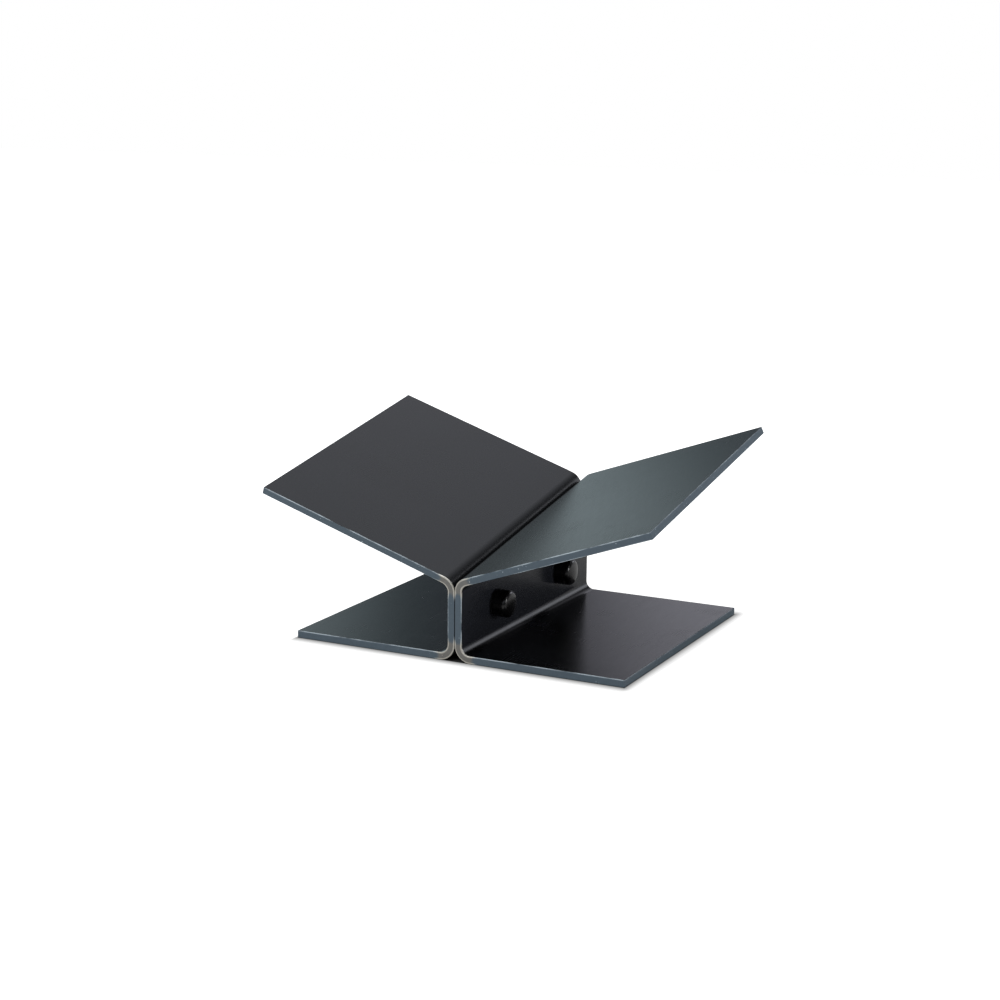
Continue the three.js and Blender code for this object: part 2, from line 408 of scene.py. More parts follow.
@dataclass(frozen=True)
class BlackenedSteel:
    """Satin blackened sheet: dark faces, slate cut edges, arrises rubbed through to bare metal,
    and a web painted paler as painted light.
    """

    face_deep: Colour = (0.0010, 0.0012, 0.0015)
    face_pale: Colour = (0.0026, 0.0031, 0.0037)
    # Painted light: the web's paler colour stands in for the light that falls on it.
    web_painted_light: Colour = (0.021, 0.023, 0.029)
    slate: Colour = (0.106, 0.143, 0.176)
    slate_deep: Colour = (0.074, 0.100, 0.124)
    slate_worn: Colour = (0.43, 0.50, 0.55)
    bare: Colour = (0.56, 0.54, 0.48)
    bare_dull: Colour = (0.215, 0.205, 0.185)
    face_roughness: float = 0.25
    edge_roughness: float = 0.50
    bare_roughness: float = 0.36
    gloss: float = 0.20
    rub_width: float = 0.55 * MM
    arris_rub_reach: float = 6.5 * MM
    bend_rub_reach: float = 3.2 * MM
    scratch_show: float = 0.03
    scratch_dulling: float = 0.04
    smudge_dulling: float = 0.04
    relief_depth: float = 0.02 * MM
    relief_strength: float = 0.25

    def material(self, sheet: "BentPlate") -> bpy.types.Material:
        """Dresses one plate.

        Args:
            sheet: The plate, for its thickness, its corners and its own scatter of marks.

        Returns:
            The material, which reads the place attributes that the plate's mesh carries.
        """
        material, graph = new_material(f"{sheet.side.word}_blackened_steel")
        flat = graph.attribute(FLAT_PLACE, "Vector")
        place = graph.stretched(flat, (1.0, 1.0, 1.0), (sheet.side.sign * 1.7, 0.4, 0.0))
        cut = self._cut_edge(graph, sheet)
        mottle = graph.noise(place, 22.0, 4.0, 0.55)
        cloud = graph.noise(place, 7.0, 2.0)
        drawn = graph.stretched(place, (900.0, 60.0, 900.0), (0.0, 0.0, 0.0))
        grain = graph.noise(drawn, 1.0, 3.0)
        aside = graph.stretched(place, (1.0, 1.0, 1.0), (3.1, 0.0, 0.0))
        smudge = graph.noise(aside, 16.0, 3.0, 0.6).rise(0.54, 0.72)
        scratch = self._scratches(graph, place)
        worn = self._wear(graph, sheet, flat, place)
        striae = self._cut_striae(graph, flat)

        tone = (mottle * 0.6 + cloud * 0.4).rise(0.3, 0.7)
        face = graph.blend(tone, self.face_deep, self.face_pale)
        # Painted light: the web is blended toward a paler colour for the light it catches.
        upright = self._web_painted_light_share(graph, sheet, flat) * (0.6 + cloud * 0.8)
        face = graph.blend(upright, face, self.web_painted_light)
        face = graph.blend(scratch * self.scratch_show, face, self.slate)
        edge = graph.blend(striae * 0.6 + mottle * 0.4, self.slate_deep, self.slate)
        painted = graph.blend(cut, face, edge)
        banded = graph.blend(worn.band * cut * 0.9, painted, self.bare_dull)
        arris = graph.blend(worn.at_bend, self.slate_worn, self.bare)
        colour = graph.blend(worn.arris, banded, arris)
        bared = (worn.arris * worn.at_bend).most(worn.band * cut * 0.6)

        face_rough = self.face_roughness + (grain - 0.5) * 0.10
        face_rough = face_rough + smudge * self.smudge_dulling + (cloud - 0.5) * 0.06
        face_rough = face_rough + scratch * self.scratch_dulling
        painted_rough = face_rough + (self.edge_roughness - face_rough) * cut
        roughness = painted_rough + (self.bare_roughness - painted_rough) * bared
        height = grain * 0.25 + graph.noise(place, 1400.0, 2.0) * 0.35 + striae * cut * 2.0
        graph.surface(
            {
                "Base Color": colour,
                "Roughness": roughness,
                "Metallic": bared * 0.7,
                "Normal": graph.bump(height, self.relief_depth, self.relief_strength),
                "Specular IOR Level": self.gloss,
            }
        )
        return material

    @staticmethod
    def _web_painted_light_share(graph: Graph, sheet: "BentPlate", flat: Signal) -> Signal:
        """Finds the web, which is painted paler to stand in for the light that falls on it.

        Args:
            graph: The material's graph.
            sheet: The plate.
            flat: Place on the developed sheet.

        Returns:
            1 on the web, and 0 from the middle of each bend on.
        """
        run = graph.parts(flat)
        low = (sheet.foot_end + sheet.web_start) / 2
        high = (sheet.web_end + sheet.wing_start) / 2
        return run.rise(low, sheet.web_start) * run.fall(sheet.web_end, high)

    @staticmethod
    def _outline_distance(graph: Graph, sheet: "BentPlate") -> Tuple[Signal, Signal]:
        """Measures how far a point is from the sheet's cut outline and from its broad faces.

        Args:
            graph: The material's graph.
            sheet: The plate.

        Returns:
            Both distances in metres.
        """
        cut_place = graph.attribute(CUT_PLACE, "Vector")
        parts = graph.parts(cut_place)
        side_short = sheet.corner_radius - parts.out("Y").least(parts.out("Z"))
        end_short = sheet.corner_radius - parts
        round_corner = (side_short.most(0.0) ** 2.0 + end_short.most(0.0) ** 2.0) ** 0.5
        from_outline = sheet.corner_radius - round_corner - side_short.most(end_short).least(0.0)
        depth = graph.attribute(FACE_DEPTH, "Fac")
        return from_outline, depth.least(sheet.sheet - depth)

    def _cut_edge(self, graph: Graph, sheet: "BentPlate") -> Signal:
        """Tells the cut edges from the broad faces.

        Args:
            graph: The material's graph.
            sheet: The plate.

        Returns:
            1 on the cut edges of the sheet and 0 on its broad faces.
        """
        from_outline, from_face = self._outline_distance(graph, sheet)
        return (from_face - from_outline).rise(-0.05 * MM, 0.15 * MM)

    def _wear(self, graph: Graph, sheet: "BentPlate", flat: Signal, place: Signal) -> Wear:
        """Finds where the finish is rubbed.

        Args:
            graph: The material's graph.
            sheet: The plate.
            flat: Place on the developed sheet.
            place: Where the scatter of wear is read.

        Returns:
            The masks of the wear.
        """
        from_outline, from_face = self._outline_distance(graph, sheet)
        ragged = graph.noise(place, 900.0, 3.0, 0.65)
        patchy = graph.noise(place, 45.0, 3.0, 0.6)
        gap = graph.attribute(BEND_GAP, "Fac")
        straggle = (patchy - 0.5) * 0.008
        at_bend = (gap + straggle).fall(1.0 * MM, self.arris_rub_reach)
        band = (gap + straggle).fall(0.0, self.bend_rub_reach) * (0.7 + ragged * 0.5)

        # The open arrises and the wing's are exposed; the foot's ends and the seam stay dark.
        depth = graph.attribute(FACE_DEPTH, "Fac")
        run = graph.parts(flat)
        on_wing = run.rise(sheet.wing_start, sheet.wing_start + sheet.sheet)
        reached = (depth / sheet.sheet).rise(0.4, 0.6).most(on_wing)
        ends = graph.attribute(CUT_PLACE, "Vector")
        at_end = graph.parts(ends).fall(0.6 * MM, 1.4 * MM)
        reached = reached * (1.0 - at_end * 0.65) * patchy.rise(0.34, 0.58)
        width = self.rub_width * (0.75 + patchy * 0.3 + at_bend * 0.75)
        nearness = (from_outline + from_face + (ragged - 0.5) * 0.0004) / width
        flecks = graph.noise(place, 520.0, 1.0).rise(0.735, 0.76)
        flecks = flecks * from_outline.fall(0.4 * MM, 0.8 * MM)
        arris = nearness.fall(0.6, 1.25) * reached.most(at_bend)
        return Wear(arris.most(flecks * 0.9), at_bend, band)

    @staticmethod
    def _cut_striae(graph: Graph, flat: Signal) -> Signal:
        """Draws the fine upright striae that a cutting beam leaves across an edge.

        Args:
            graph: The material's graph.
            flat: Place on the developed sheet.

        Returns:
            The relief, from 0 to 1.
        """
        parts = graph.parts(flat)
        lag = graph.noise(flat, 260.0, 2.0) * 0.0006
        along = parts + parts.out("Y") + lag
        spread = {0: along * 3400.0, 1: parts.out("Z") * 160.0}
        return graph.noise(graph.node("ShaderNodeCombineXYZ", None, spread), 1.0, 2.0, 0.5)

    @staticmethod
    def _scratches(graph: Graph, place: Signal) -> Signal:
        """Draws a few hairline scratches of uneven length.

        Args:
            graph: The material's graph.
            place: Where they are read.

        Returns:
            The scratches, from 0 to 1.
        """
        total = None
        for turn, scale, offset in ((0.35, 13.0, 0.3), (1.9, 17.0, 2.2), (2.6, 9.0, 5.1)):
            settings = {"rotation_type": "Z_AXIS"}
            inputs = {"Vector": place, "Angle": turn}
            swung = graph.node("ShaderNodeVectorRotate", settings, inputs)
            long = graph.stretched(swung, (1.0, 0.16, 1.0), (offset, offset, 0.0))
            line = abs(graph.noise(long, scale, 1.0) - 0.5).fall(0.0, 0.0022)
            line = line * graph.noise(place, 31.0 + offset, 2.0).rise(0.60, 0.72)
            total = line if total is None else total.most(line)
        return total


@dataclass(frozen=True)
class GlossBlack:
    """Gloss black knob, with faint rings from its last cut under the finish."""

    body: Colour = (0.0009, 0.0009, 0.0010)
    dust: Colour = (0.020, 0.020, 0.021)
    roughness: float = 0.21
    ring_spacing: float = 0.22 * MM
    gloss: float = 0.44
    face_at: float = 10.2 * MM  # from the base to where the rounded edge ends
    face_blend: float = 0.6 * MM

    def material(self) -> bpy.types.Material:
        """Returns the material of a knob that lies along X, with its base at X = 0."""
        material, graph = new_material("gloss_black_knob")
        place = graph.object_place()
        parts = graph.parts(place)
        radius = graph.from_axis(place)
        on_face = abs(parts).rise(self.face_at - self.face_blend, self.face_at)
        ring_place = radius * on_face + parts * (1.0 - on_face)
        wander = graph.noise(place, 300.0, 2.0)
        rings = (ring_place * (math.tau / self.ring_spacing) + wander * 3.0).sine() * 0.5 + 0.5
        specks = graph.noise(place, 2600.0, 1.0).rise(0.70, 0.78)
        film = graph.noise(place, 120.0, 3.0, 0.6)
        graph.surface(
            {
                "Base Color": graph.blend(specks * 0.5 + film * 0.06, self.body, self.dust),
                "Roughness": self.roughness + (film - 0.5) * 0.10 + specks * 0.2,
                "Normal": graph.bump(rings * 0.7 + film * 0.3, 0.000004, 0.5),
                "Specular IOR Level": self.gloss,
            }
        )
        return material


@dataclass(frozen=True)
class ZincSteel:
    """Zinc-plated thread, bright on its crests, with painted shade darkening its rougher roots."""

    crest: Colour = (0.52, 0.53, 0.54)
    root_painted_shade: Colour = (0.16, 0.16, 0.155)
    tint: Colour = (0.47, 0.46, 0.40)
    roughness: float = 0.30
    dull_and_shaded_radius: float = 2.5 * MM
    bright_radius: float = 2.95 * MM

    def material(self) -> bpy.types.Material:
        """Returns the material of a stud that lies along X."""
        material, graph = new_material("zinc_plated_thread")
        place = graph.object_place()
        # Painted shade: below this radius the roots turn dark; they also turn rougher.
        high = graph.from_axis(place).rise(self.dull_and_shaded_radius, self.bright_radius)
        cloud = graph.noise(place, 260.0, 3.0)
        drawn = graph.stretched(place, (1.0, 6.0, 6.0), (0.0, 0.0, 0.0))
        fine = graph.noise(drawn, 2500.0, 2.0)
        metal = graph.blend(cloud.rise(0.4, 0.65), self.crest, self.tint)
        graph.surface(
            {
                "Base Color": graph.blend(high, self.root_painted_shade, metal),
                "Metallic": 1.0,
                "Roughness": self.roughness + (1.0 - high) * 0.2 + (fine - 0.5) * 0.15,
                "Normal": graph.bump(fine, 0.000006, 0.5),
            }
        )
        return material


@dataclass(frozen=True)
class MattNylon:
    """Matt black moulded nylon, a little paler where it has been rubbed."""

    body: Colour = (0.0090, 0.0090, 0.0095)
    rubbed: Colour = (0.026, 0.026, 0.027)
    roughness: float = 0.55

    def material(self) -> bpy.types.Material:
        """Returns the washers' material."""
        material, graph = new_material("matt_nylon")
        place = graph.object_place()
        cloud = graph.noise(place, 220.0, 3.0, 0.6)
        grain = graph.noise(place, 3000.0, 2.0)
        graph.surface(
            {
                "Base Color": graph.blend(cloud.rise(0.45, 0.7), self.body, self.rubbed),
                "Roughness": self.roughness + (grain - 0.5) * 0.12,
                "Normal": graph.bump(grain, 0.00001, 0.5),
            }
        )
        return material


# ---- Meshes ----


def made_object(
    name: str, bm: bmesh.types.BMesh, material: bpy.types.Material
) -> bpy.types.Object:
    """Turns a finished bmesh into a smoothly shaded object.

    Args:
        name: The piece's name.
        bm: Its mesh, which is freed.
        material: Its material.

    Returns:
        The object, linked to the scene.
    """
    bmesh.ops.recalc_face_normals(bm, faces=bm.faces)
    mesh = bpy.data.meshes.new(name)
    bm.to_mesh(mesh)
    bm.free()
    mesh.materials.append(material)
    mesh.shade_smooth()
    mesh.set_sharp_from_angle(angle=SHARP_ANGLE)
    piece = bpy.data.objects.new(name, mesh)
    bpy.context.scene.collection.objects.link(piece)
    weighting = piece.modifiers.new("flat faces stay flat", "WEIGHTED_NORMAL")
    weighting.keep_sharp = True
    return piece


def seat(piece: bpy.types.Object, body: str, node: str) -> None:
    """Fixes a piece to its body, in the place of its plain solid, and reports it.

    Args:
        piece: The finished object.
        body: The body that it moves with.
        node: The solid that it stands for.
    """
    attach(piece, body)
    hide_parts(node)
    LOG.info("%s rides on %s: %d faces", piece.name, body, len(piece.data.polygons))


# ---- The bent plates ----


class Side(Enum):
    """The side of the middle plane that a plate stands on."""

    RIGHT = 1
    LEFT = -1

    @property
    def sign(self) -> int:
        """Returns 1 on the right and -1 on the left."""
        return self.value

    @property
    def word(self) -> str:
        """Returns the side's name in small letters."""
        return self.name.lower()


@dataclass(frozen=True)
class SkinPoint:
    """A point of a plate's skin, and what its finish reads there."""

    place: Vector
    flat: Vector
    cut: Vector
    depth: float
    bend_gap: float


@dataclass
class BentPlate:
    """A foot, an upright web and a wing, bent out of one sheet.

    The outer face looks at the table, the other plate or the pages; the open face carries the
    knobs. The run is the distance along the section from the foot's outer edge to the wing's.
    """

    side: Side
    finish: BlackenedSteel
    stud_places: Sequence[Pair]
    stud_hole_radius: float
    depth: float = 200 * MM
    sheet: float = 5 * MM
    bend_inner_radius: float = 6 * MM
    foot_reach: float = 122 * MM
    wing_reach: float = 150 * MM
    wing_rise: float = math.radians(20)
    trough_rise: float = math.radians(10)
    trough_front_height: float = 55 * MM
    corner_radius: float = 0.8 * MM
    arris_radius: float = 0.45 * MM
    plate_gap: float = 0.3 * MM
    bend_bulge: float = 0.16 * MM
    bulge_balance: float = 0.9
    bend_margin: float = 8 * MM
    hole_chamfer: float = 0.25 * MM
    bend_steps: int = 28
    corner_steps: int = 8
    arris_steps: int = 4
    hole_columns: int = 64

    def __post_init__(self) -> None:
        """Works out what follows from the sizes."""
        self.bend_outer_radius = self.bend_inner_radius + self.sheet
        self.web_back = self.plate_gap / 2
        self.bend_axis = self.web_back + self.bend_outer_radius
        neutral_radius = self.bend_inner_radius + self.sheet / 2
        self.upper_bend = math.pi / 2 - self.wing_rise
        setback = self.bend_outer_radius * math.tan(self.upper_bend / 2)
        self.web_top = self.trough_front_height - setback / math.cos(self.trough_rise)
        wing_end_rise = setback + self.wing_reach * math.sin(self.wing_rise)
        self.front = (wing_end_rise * math.sin(self.trough_rise) - self.depth) / 2
        self.foot_end = self.foot_reach - self.bend_axis
        self.web_start = self.foot_end + neutral_radius * math.pi / 2
        self.web_end = self.web_start + self.web_top - self.bend_outer_radius
        self.wing_start = self.web_end + neutral_radius * self.upper_bend
        self.run = self.wing_start + self.wing_reach - setback

    # -- where a point of the sheet ends up --

    def _section(self, run: float) -> Tuple[Pair, Pair]:
        """Finds the section at a run.

        Args:
            run: Distance from the foot's outer edge.

        Returns:
            The outer and the open section point. Their heights are over the table on the level
            rows, and over the web's upper end on the tilted rows.
        """
        if run < self.foot_end:
            reach = self.foot_reach - run
            return (reach, 0.0), (reach, self.sheet)
        if run < self.web_start:
            turn = (run - self.foot_end) / (self.web_start - self.foot_end) * math.pi / 2
            return self._round_bend(-math.sin(turn), -math.cos(turn), self.bend_outer_radius)
        if run < self.web_end:
            level = run - self.web_start + self.bend_outer_radius
            height = run - self.web_end if self._is_tilted(run) else level
            return (self.web_back, height), (self.web_back + self.sheet, height)
        if run < self.wing_start:
            turn = (run - self.web_end) / (self.wing_start - self.web_end) * self.upper_bend
            return self._round_bend(-math.cos(turn), math.sin(turn), 0.0)
        slope = Vector((math.cos(self.wing_rise), math.sin(self.wing_rise)))
        across = Vector((slope.y, -slope.x))
        outer, _ = self._round_bend(-across.x, -across.y, 0.0)
        outer = Vector(outer) + slope * (run - self.wing_start)
        return tuple(outer), tuple(outer + across * self.sheet)

    def _round_bend(self, x: float, z: float, axis_height: float) -> Tuple[Pair, Pair]:
        """Finds the two section points in one direction from a bend's axis.

        Args:
            x: The direction's part along X.
            z: Its part along the section's height.
            axis_height: Height of the axis.

        Returns:
            The outer and the open section point.
        """
        outer, inner = self.bend_outer_radius, self.bend_inner_radius
        return (
            (self.bend_axis + outer * x, axis_height + outer * z),
            (self.bend_axis + inner * x, axis_height + inner * z),
        )

    def _is_tilted(self, run: float) -> bool:
        """Tells whether a row lies square to the trough rather than level.

        Args:
            run: Distance from the foot's outer edge.

        Returns:
            True from the middle of the web to the wing's outer edge.
        """
        return run > (self.web_start + self.web_end) / 2

    def _length(self, run: float) -> float:
        """Measures the plate from front to back.

        Args:
            run: Distance from the foot's outer edge.

        Returns:
            The length there.
        """
        return self.depth / math.cos(self.trough_rise) if self._is_tilted(run) else self.depth

    def _gap_to_bend(self, run: float) -> float:
        """Measures how far the nearest bend is, along the sheet.

        Args:
            run: Distance from the foot's outer edge.

        Returns:
            The distance, which is 0 in a bend.
        """
        bends = ((self.foot_end, self.web_start), (self.web_end, self.wing_start))
        return max(0.0, min(max(start - run, run - end) for start, end in bends))

    def _bulge(self, run: float) -> float:
        """Finds how far the squeezed side of the cut edge stands out.

        Args:
            run: Distance from the foot's outer edge.

        Returns:
            The bulge, which is 0 outside the bends.
        """
        for start, end in ((self.foot_end, self.web_start), (self.web_end, self.wing_start)):
            if start < run < end:
                return self.bend_bulge * math.sin(math.pi * (run - start) / (end - start))
        return 0.0

    def _point(self, run: float, inset: float, at_back: bool, depth: float) -> SkinPoint:
        """Bends one point of the flat sheet into place.

        Args:
            run: Distance along the section.
            inset: Distance from the front or the back edge.
            at_back: Whether the inset counts from the back edge.
            depth: Distance from the outer face.

        Returns:
            The point, with what the finish reads there.
        """
        share = depth / self.sheet
        inset = inset - self._bulge(run) * (2 * share - self.bulge_balance)
        length = self._length(run)
        along = length - inset if at_back else inset
        outer, opened = self._section(run)
        x = outer[0] + (opened[0] - outer[0]) * share
        height = outer[1] + (opened[1] - outer[1]) * share
        y, z, flat = self.front + along, height, Vector((run, along, depth))
        if self._is_tilted(run):
            sine, cosine = math.sin(self.trough_rise), math.cos(self.trough_rise)
            over = max(run - self.web_end, 0.0)
            below = min(run - self.web_end, 0.0) / cosine
            y = self.front + along * cosine - max(height, 0.0) * sine
            rise = max(height, 0.0) * cosine if below == 0.0 else below
            z = self.web_top + along * sine + rise
            level = self.web_end + along * sine + over * cosine + below
            flat = Vector((level, along * cosine - over * sine, depth))
        cut = Vector((min(run, self.run - run), along, length - along))
        place = Vector((x * self.side.sign, y, z))
        return SkinPoint(place, flat, cut, depth, self._gap_to_bend(run))

    # -- rows of points, each once round the sheet --

    def _arris_profile(self) -> List[Pair]:
        """Returns the cut edge's section as (distance from the outline, depth) pairs."""
        radius = self.arris_radius
        steps = range(self.arris_steps + 1)
        quarter = [step / self.arris_steps * math.pi / 2 for step in steps]
        lower = [(radius * (1 - math.sin(a)), radius * (1 - math.cos(a))) for a in quarter]
        upper = [(inset, self.sheet - depth) for inset, depth in reversed(lower)]
        return lower + upper

    def _row(self, run: float, corner_turn: float = 0.0) -> List[SkinPoint]:
        """Makes one row of points, from front to back along the open face.

        Args:
            run: Where the row lies; at a corner, the sheet's end that it belongs to.
            corner_turn: Angle round the cut corner, from 0 at its inner end to a quarter turn.

        Returns:
            The points once round the sheet.
        """
        outward = -1.0 if run < self.run / 2 else 1.0
        front, back = [], []
        for inset, depth in self._arris_profile():
            at_run = run
            if corner_turn:
                arm = self.corner_radius - inset
                at_run = run - outward * (self.corner_radius - arm * math.sin(corner_turn))
                inset = self.corner_radius - arm * math.cos(corner_turn)
            front.append(self._point(at_run, inset, False, depth))
            back.append(self._point(at_run, inset, True, depth))
        return front + back[::-1]

    def _rows(self) -> List[List[SkinPoint]]:
        """Returns all the rows, from the foot's outer edge to the wing's."""
        steps = range(1, self.corner_steps + 1)
        turns = [step / self.corner_steps * math.pi / 2 for step in steps]
        part = [step / self.bend_steps for step in range(self.bend_steps + 1)]
        runs = [self.corner_radius, self.foot_end - self.bend_margin]
        runs += [self.foot_end + (self.web_start - self.foot_end) * share for share in part]
        runs += [self.web_start + self.bend_margin, self.web_end - self.bend_margin]
        runs += [self.web_end + (self.wing_start - self.web_end) * share for share in part]
        runs += [self.wing_start + self.bend_margin, self.run - self.corner_radius]
        rows = [self._row(0.0, turn) for turn in reversed(turns)]
        rows += [self._row(run) for run in runs]
        rows += [self._row(self.run, turn) for turn in turns]
        return rows

    # -- the mesh --

    def _vertex(self, bm: bmesh.types.BMesh, point: SkinPoint) -> bmesh.types.BMVert:
        """Adds a vertex with its attributes.

        Args:
            bm: Where it goes.
            point: The point of the skin.

        Returns:
            The vertex.
        """
        layers = bm.verts.layers
        vertex = bm.verts.new(point.place)
        vertex[layers.float_vector[FLAT_PLACE]] = point.flat
        vertex[layers.float_vector[CUT_PLACE]] = point.cut
        vertex[layers.float[FACE_DEPTH]] = point.depth
        vertex[layers.float[BEND_GAP]] = point.bend_gap
        return vertex

    def _skin(self, bm: bmesh.types.BMesh) -> List[List[bmesh.types.BMEdge]]:
        """Joins the rows into one skin, with the web's two broad faces left open.

        Args:
            bm: Where it goes.

        Returns:
            The borders of the two openings, first on the open face and then on the outer one.
        """
        rows = [[self._vertex(bm, point) for point in row] for row in self._rows()]
        count = len(rows[0])
        half = count // 2
        web_row = self.corner_steps + 2 + self.bend_steps + 1
        for number, (here, following) in enumerate(zip(rows, rows[1:])):
            for side in range(count):
                if number == web_row and side in (half - 1, count - 1):
                    continue
                other = (side + 1) % count
                bm.faces.new((here[side], here[other], following[other], following[side]))
        for end in (rows[0], rows[-1]):
            for side in range(half - 1):
                across = count - 1 - side
                bm.faces.new((end[side], end[side + 1], end[across - 1], end[across]))
        borders = []
        for side in (half - 1, count - 1):
            other = (side + 1) % count
            low, high = rows[web_row], rows[web_row + 1]
            corners = (low[side], low[other], high[other], high[side])
            pairs = zip(corners, corners[1:] + corners[:1])
            borders.append([bm.edges.get(pair) for pair in pairs])
        return borders

    def _web_point(self, y: float, z: float, depth: float) -> SkinPoint:
        """Finds a point on the flat of the web.

        Args:
            y: Its place from front to back.
            z: Its height.
            depth: Distance from the outer face.

        Returns:
            The point, with what the finish reads there.
        """
        run = self.web_start + z - self.bend_outer_radius
        along = y - self.front
        flat = Vector((run, along, depth))
        cut = Vector((self.corner_radius * 2, along, self.depth - along))
        x = (self.web_back + depth) * self.side.sign
        return SkinPoint(Vector((x, y, z)), flat, cut, depth, self.bend_margin)

    def _circle(
        self, bm: bmesh.types.BMesh, y: float, z: float, depth: float, radius: float
    ) -> List[bmesh.types.BMVert]:
        """Adds one circle of points in the web, about a hole's axis.

        Args:
            bm: Where it goes.
            y: Place of the hole's axis.
            z: Its height.
            depth: Distance from the outer face.
            radius: The circle's radius.

        Returns:
            The vertices in order.
        """
        circle = []
        for column in range(self.hole_columns):
            turn = column / self.hole_columns * math.tau
            across, up = y + radius * math.cos(turn), z + radius * math.sin(turn)
            circle.append(self._vertex(bm, self._web_point(across, up, depth)))
        return circle

    def _hole_wall(
        self, bm: bmesh.types.BMesh, y: float, z: float
    ) -> List[List[bmesh.types.BMEdge]]:
        """Adds the wall of one stud hole, with a small chamfer at both ends.

        Args:
            bm: Where it goes.
            y: Place of the hole's axis.
            z: Its height.

        Returns:
            The rims, first on the open face and then on the outer one.
        """
        rim = self.stud_hole_radius + self.hole_chamfer
        steps = (
            (self.sheet, rim),
            (self.sheet - self.hole_chamfer, self.stud_hole_radius),
            (self.hole_chamfer, self.stud_hole_radius),
            (0.0, rim),
        )
        circles = [self._circle(bm, y, z, depth, radius) for depth, radius in steps]
        for here, following in zip(circles, circles[1:]):
            for column, vertex in enumerate(here):
                other = (column + 1) % self.hole_columns
                bm.faces.new((vertex, here[other], following[other], following[column]))
        rims = []
        for circle in (circles[0], circles[-1]):
            before = circle[-1:] + circle[:-1]
            rims.append([bm.edges.get(pair) for pair in zip(before, circle)])
        return rims

    def build(self) -> bpy.types.Object:
        """Builds the plate and dresses it."""
        bm = bmesh.new()
        for name in (FLAT_PLACE, CUT_PLACE):
            bm.verts.layers.float_vector.new(name)
        for name in (FACE_DEPTH, BEND_GAP):
            bm.verts.layers.float.new(name)
        borders = self._skin(bm)
        for y, z in self.stud_places:
            for border, rim in zip(borders, self._hole_wall(bm, y, z)):
                border += rim
        for border in borders:
            bmesh.ops.triangle_fill(bm, edges=border, use_beauty=True)
        piece = made_object(f"{self.side.word}_bent_plate", bm, self.finish.material(self))
        seat(piece, "stand", f"{self.side.word}_plate")
        return piece


# ---- The thumb screws ----


@dataclass(frozen=True)
class Thread:
    """A right-hand thread along X."""

    pitch: float
    root_radius: float
    crest_radius: float
    root_flat: float = 0.22  # share of a half pitch
    flank: float = 0.62

    def radius(self, x: float, turn: float) -> float:
        """Returns the thread's radius.

        Args:
            x: Place along the axis.
            turn: Angle round it.

        Returns:
            The distance of the thread's surface from the axis.
        """
        share = (x / self.pitch - turn / math.tau) % 1.0
        height = min(max((abs(2 * share - 1) - self.root_flat) / self.flank, 0.0), 1.0)
        height = height * height * (3 - 2 * height)
        return self.root_radius + (self.crest_radius - self.root_radius) * height


def turned(rings: Sequence[Ring], columns: int, is_ring: bool = False) -> bmesh.types.BMesh:
    """Revolves rings about the X axis.

    Args:
        rings: The place along X and the radius of each, as a number or as a rule of the angle.
            A radius of 0 is a pole.
        columns: Steps round the axis.
        is_ring: Whether the last ring joins the first.

    Returns:
        The mesh.
    """
    bm = bmesh.new()
    turns = [column / columns * math.tau for column in range(columns)]
    loops = []
    for x, rule in rings:
        if rule == 0.0:
            loops.append([bm.verts.new((x, 0.0, 0.0))])
            continue
        radii = [rule(x, turn) if callable(rule) else rule for turn in turns]
        places = [(x, r * math.cos(turn), r * math.sin(turn)) for r, turn in zip(radii, turns)]
        loops.append([bm.verts.new(place) for place in places])
    pairs = list(zip(loops, loops[1:])) + ([(loops[-1], loops[0])] if is_ring else [])
    for here, following in pairs:
        for column in range(columns):
            other = (column + 1) % columns
            corners = (
                here[column % len(here)],
                here[other % len(here)],
                following[other % len(following)],
                following[column % len(following)],
            )
            bm.faces.new(tuple(dict.fromkeys(corners)))
    return bm


